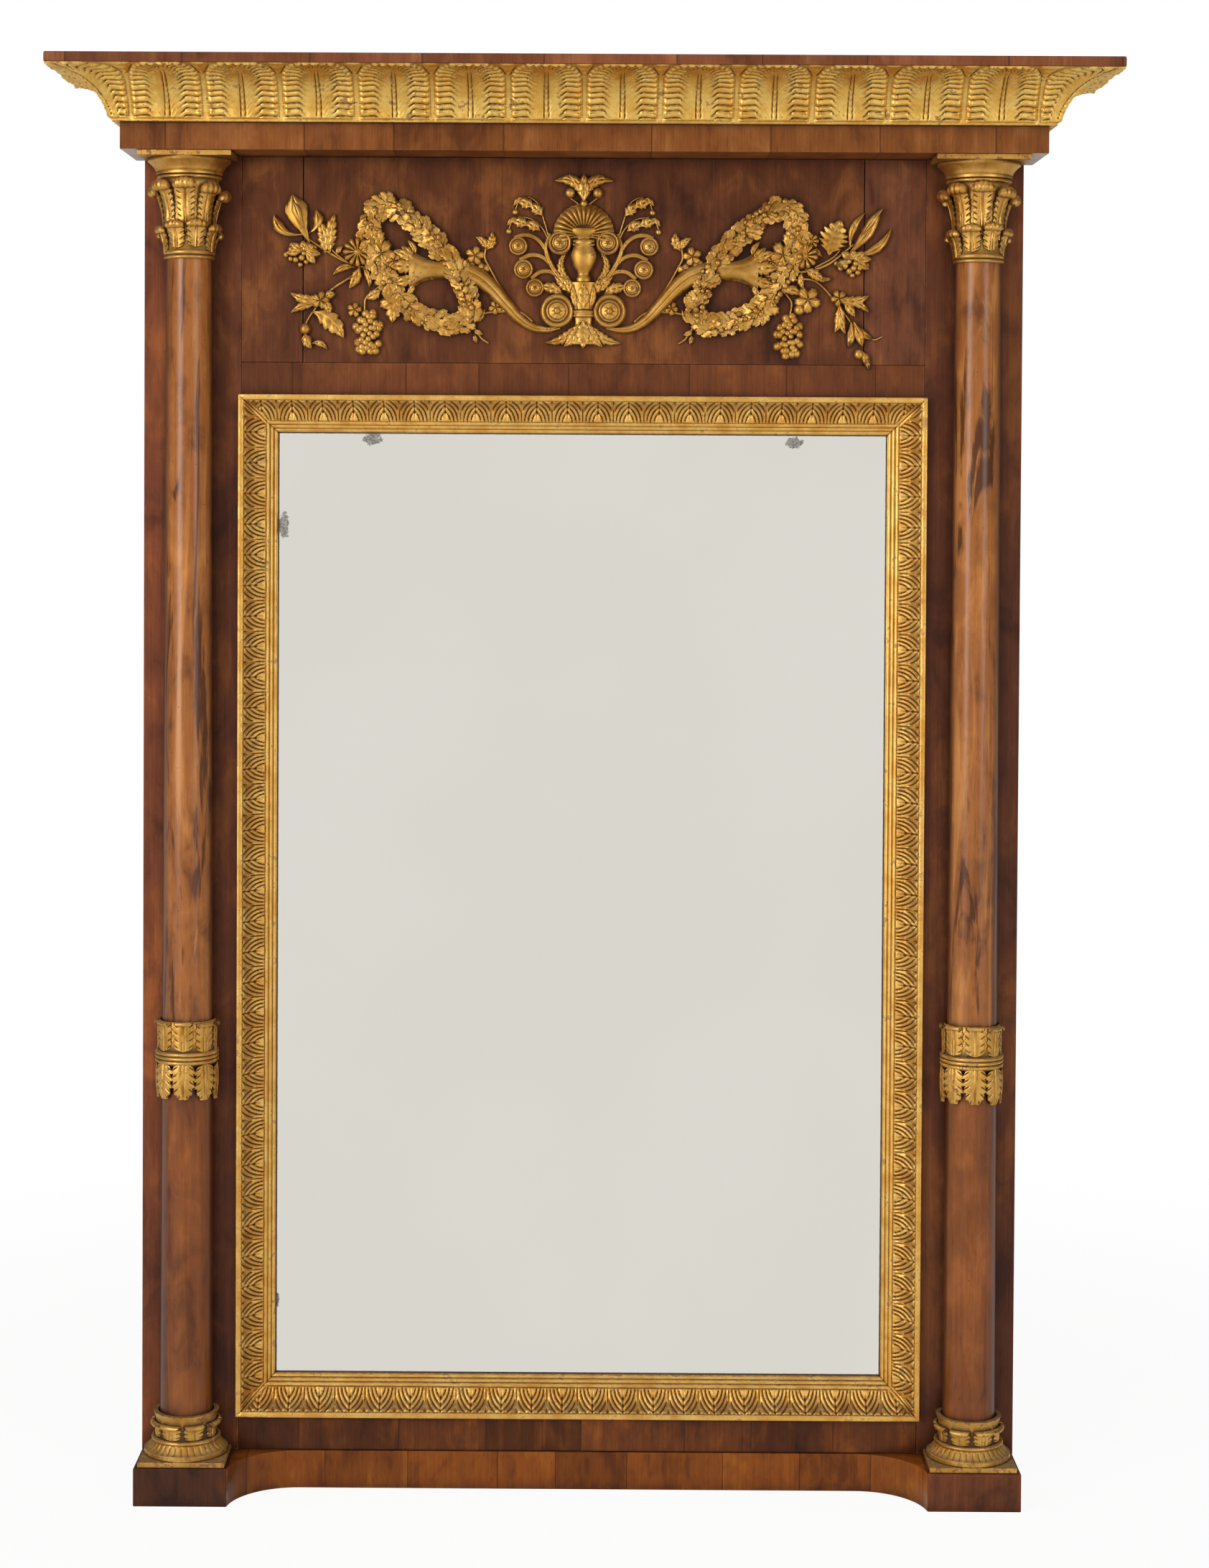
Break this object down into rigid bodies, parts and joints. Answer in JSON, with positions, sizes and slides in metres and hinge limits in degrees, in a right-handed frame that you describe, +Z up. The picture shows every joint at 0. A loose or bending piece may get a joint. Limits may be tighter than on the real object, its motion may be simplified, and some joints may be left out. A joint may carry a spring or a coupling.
{
  "type": "framed mirror",
  "caption": "Tall pier mirror in a veneered frame with engaged columns, gilt leaf mouldings, a cove cornice and a gilt frieze ornament; iron hanging loops on the back.",
  "frame": {"origin": "under the middle of the whole mirror, at the height of the plinth's underside", "axes": "+Z up, -Y out of the glass towards the viewer, +X to the viewer's right"},
  "size_m": [1.346, 0.2206, 1.85],
  "materials": {
    "veneer": "polished figured veneer on pine",
    "column_veneer": "polished plain veneer",
    "walnut_edge": "worn polish",
    "gilding": "carved wood, leaf gilded over bole, worn",
    "pine": "bare aged pine",
    "mirror": "silvered plate",
    "iron": "dark wrought iron"
  },
  "bodies": {
    "frame": {"abacus_left": "gilding", "abacus_right": "gilding", "architrave": "veneer", "backboard_1": "pine", "backboard_2": "pine", "backboard_3": "pine", "backboard_4": "pine", "backboard_5": "pine", "backboard_nails": "iron", "base_slab_left": "gilding", "base_slab_right": "gilding", "bottom_rail": "veneer", "capital_left": "gilding", "capital_right": "gilding", "column_band_left": "gilding", "column_band_right": "gilding", "column_base_left": "gilding", "column_base_right": "gilding", "cornice_rail": "pine", "cornice_top_board": "walnut_edge", "cornucopia_left": "gilding", "cornucopia_right": "gilding", "cove_front": "gilding", "cove_return_left": "gilding", "cove_return_right": "gilding", "frieze_batten": "pine", "frieze_board_centre": "veneer", "frieze_board_left": "veneer", "frieze_board_right": "veneer", "frieze_rail": "veneer", "fruit_left": "gilding", "fruit_right": "gilding", "glass_blocks": "pine", "hanger_screws": "iron", "hanger_strap_left": "iron", "hanger_strap_right": "iron", "mirror_plate": "mirror", "moulding_bottom": "gilding", "moulding_left": "gilding", "moulding_right": "gilding", "moulding_top": "gilding", "ornament_centre": "gilding", "plinth_block_left": "veneer", "plinth_block_right": "veneer", "plinth_rail": "veneer", "shaft_lower_left": "column_veneer", "shaft_lower_right": "column_veneer", "shaft_upper_left": "column_veneer", "shaft_upper_right": "column_veneer", "side_board_left": "pine", "side_board_right": "pine", "spray_left": "gilding", "spray_right": "gilding", "stile_left": "veneer", "stile_right": "veneer", "wreath_left": "gilding", "wreath_right": "gilding"},
    "loop_left": {"hanger_ring_left": "iron"},
    "loop_right": {"hanger_ring_right": "iron"}
  },
  "joints": [
    {"name": "loop_left_swing", "type": "hinge", "parent": "frame", "child": "loop_left", "pos_m": [-0.507, 0.07845, 1.5885], "axis": [1, 0, 0], "range_deg": [0, 180]},
    {"name": "loop_right_swing", "type": "hinge", "parent": "frame", "child": "loop_right", "pos_m": [0.507, 0.07845, 1.5885], "axis": [1, 0, 0], "range_deg": [0, 180]}
  ]
}
